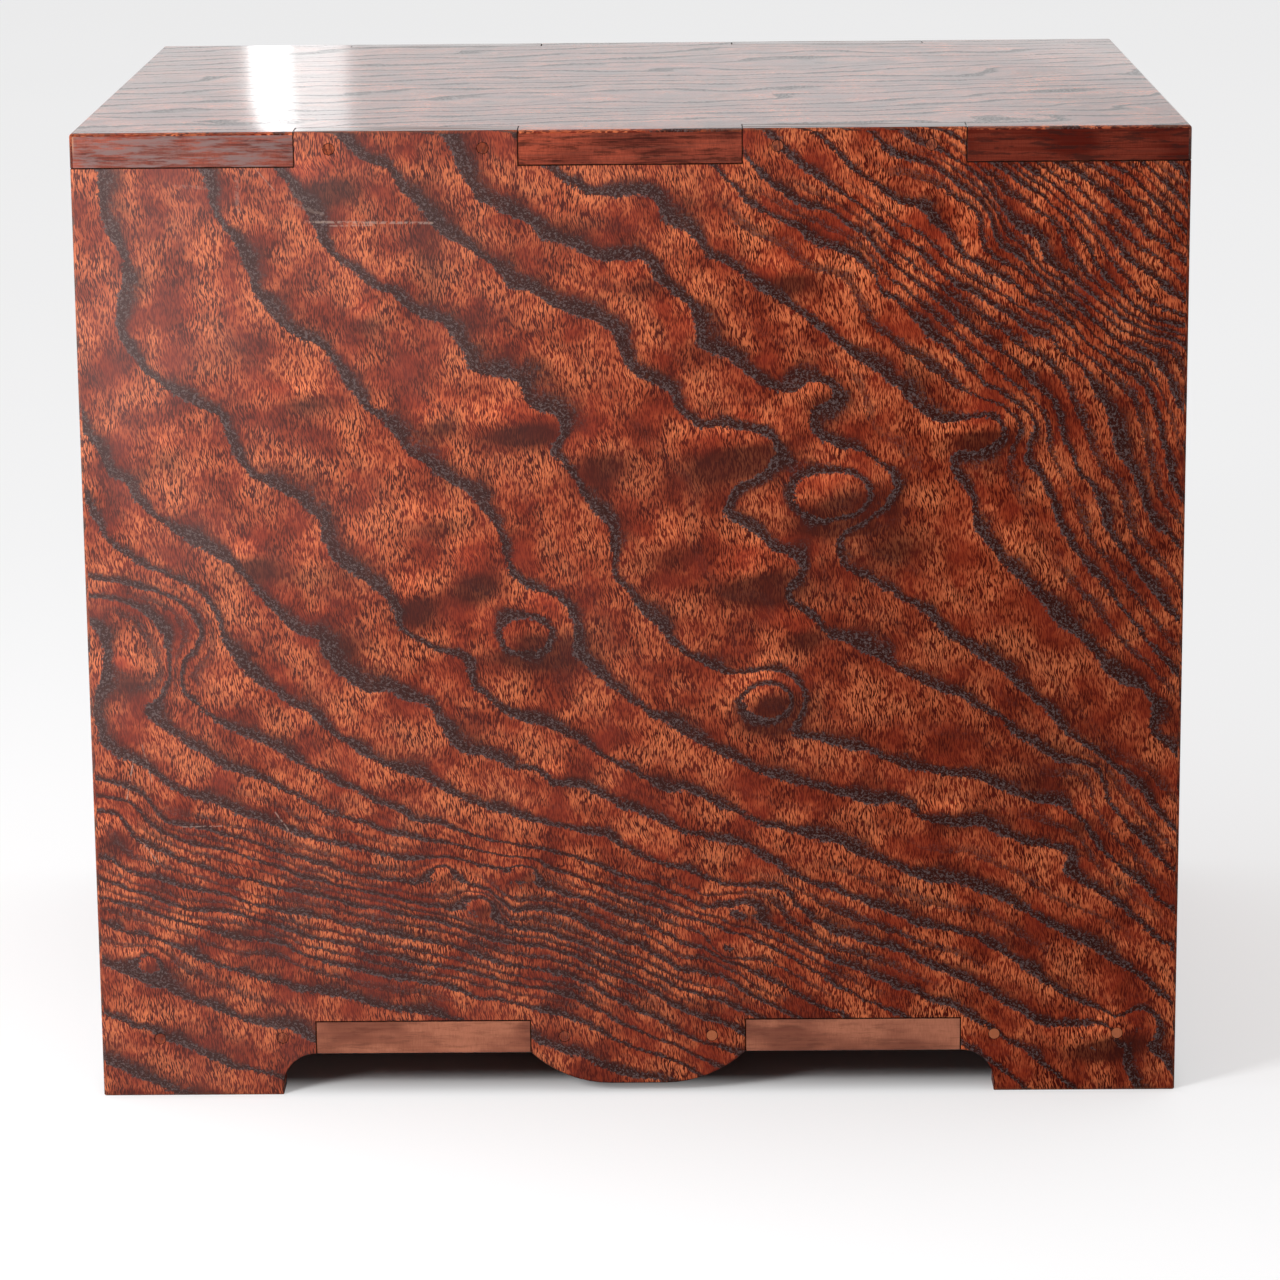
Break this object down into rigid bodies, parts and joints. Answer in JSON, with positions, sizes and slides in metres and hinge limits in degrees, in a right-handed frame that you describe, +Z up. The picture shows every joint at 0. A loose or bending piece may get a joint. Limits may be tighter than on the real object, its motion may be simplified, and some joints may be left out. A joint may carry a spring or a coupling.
{
  "type": "small chest of drawers",
  "caption": "Small, deep wooden chest with finger-jointed pegged boards, bracket feet and drawers with ring pulls.",
  "frame": {"origin": "middle of the footprint, on the floor", "axes": "+Z up, front with the drawers towards -Y, +X to the right of someone who faces the front"},
  "size_m": [0.2364, 0.3065, 0.2728],
  "materials": {
    "zelkova": "figured zelkova, red-brown clear lacquer, satin to glossy",
    "back_wood": "plain board, thin red-brown lacquer",
    "paulownia": "bare paulownia, matt",
    "peg_wood": "end grain of wooden pegs, lacquered",
    "iron": "blackened forged iron, worn at the edges"
  },
  "bodies": {
    "case": {"top_board": "zelkova", "base_board": "zelkova", "left_side_panel": "zelkova", "right_side_panel": "zelkova", "back_panel": "back_wood", "lower_rail": "zelkova", "middle_rail": "zelkova", "upper_rail": "zelkova", "lower_shelf": "paulownia", "middle_shelf": "paulownia", "upper_shelf": "paulownia", "divider": "zelkova", "top_pegs": "peg_wood", "base_pegs": "peg_wood", "back_pegs": "peg_wood"},
    "upper_left_drawer": {"upper_left_drawer_front": "zelkova", "upper_left_drawer_left_side": "paulownia", "upper_left_drawer_right_side": "paulownia", "upper_left_drawer_back": "paulownia", "upper_left_drawer_bottom": "paulownia", "upper_left_drawer_pegs": "peg_wood", "upper_left_pull_seat": "iron", "upper_left_pull_pin": "iron"},
    "upper_left_ring": {"upper_left_pull_ring": "iron"},
    "upper_right_drawer": {"upper_right_drawer_front": "zelkova", "upper_right_drawer_left_side": "paulownia", "upper_right_drawer_right_side": "paulownia", "upper_right_drawer_back": "paulownia", "upper_right_drawer_bottom": "paulownia", "upper_right_drawer_pegs": "peg_wood", "upper_right_pull_seat": "iron", "upper_right_pull_pin": "iron"},
    "upper_right_ring": {"upper_right_pull_ring": "iron"},
    "second_drawer": {"second_drawer_front": "zelkova", "second_drawer_left_side": "paulownia", "second_drawer_right_side": "paulownia", "second_drawer_back": "paulownia", "second_drawer_bottom": "paulownia", "second_drawer_pegs": "peg_wood", "second_pull_seat": "iron", "second_pull_pin": "iron"},
    "second_ring": {"second_pull_ring": "iron"},
    "third_drawer": {"third_drawer_front": "zelkova", "third_drawer_left_side": "paulownia", "third_drawer_right_side": "paulownia", "third_drawer_back": "paulownia", "third_drawer_bottom": "paulownia", "third_drawer_pegs": "peg_wood", "third_pull_seat": "iron", "third_pull_pin": "iron"},
    "third_ring": {"third_pull_ring": "iron"},
    "bottom_drawer": {"bottom_drawer_front": "zelkova", "bottom_drawer_left_side": "paulownia", "bottom_drawer_right_side": "paulownia", "bottom_drawer_back": "paulownia", "bottom_drawer_bottom": "paulownia", "bottom_drawer_pegs": "peg_wood", "bottom_pull_seat": "iron", "bottom_pull_pin": "iron"},
    "bottom_ring": {"bottom_pull_ring": "iron"}
  },
  "joints": [
    {"name": "upper_left_drawer_slide", "type": "slide", "parent": "case", "child": "upper_left_drawer", "axis": [0, -1, 0], "range_m": [0, 0.22]},
    {"name": "upper_left_ring_swing", "type": "hinge", "parent": "upper_left_drawer", "child": "upper_left_ring", "pos_m": [-0.05613, -0.1523, 0.24595], "axis": [-1, 0, 0], "range_deg": [0, 170]},
    {"name": "upper_right_drawer_slide", "type": "slide", "parent": "case", "child": "upper_right_drawer", "axis": [0, -1, 0], "range_m": [0, 0.22]},
    {"name": "upper_right_ring_swing", "type": "hinge", "parent": "upper_right_drawer", "child": "upper_right_ring", "pos_m": [0.05613, -0.1523, 0.24595], "axis": [-1, 0, 0], "range_deg": [0, 170]},
    {"name": "second_drawer_slide", "type": "slide", "parent": "case", "child": "second_drawer", "axis": [0, -1, 0], "range_m": [0, 0.22]},
    {"name": "second_ring_swing", "type": "hinge", "parent": "second_drawer", "child": "second_ring", "pos_m": [0, -0.1523, 0.18975], "axis": [-1, 0, 0], "range_deg": [0, 170]},
    {"name": "third_drawer_slide", "type": "slide", "parent": "case", "child": "third_drawer", "axis": [0, -1, 0], "range_m": [0, 0.22]},
    {"name": "third_ring_swing", "type": "hinge", "parent": "third_drawer", "child": "third_ring", "pos_m": [0, -0.1523, 0.12755], "axis": [-1, 0, 0], "range_deg": [0, 170]},
    {"name": "bottom_drawer_slide", "type": "slide", "parent": "case", "child": "bottom_drawer", "axis": [0, -1, 0], "range_m": [0, 0.22]},
    {"name": "bottom_ring_swing", "type": "hinge", "parent": "bottom_drawer", "child": "bottom_ring", "pos_m": [0, -0.1523, 0.05935], "axis": [-1, 0, 0], "range_deg": [0, 170]}
  ]
}
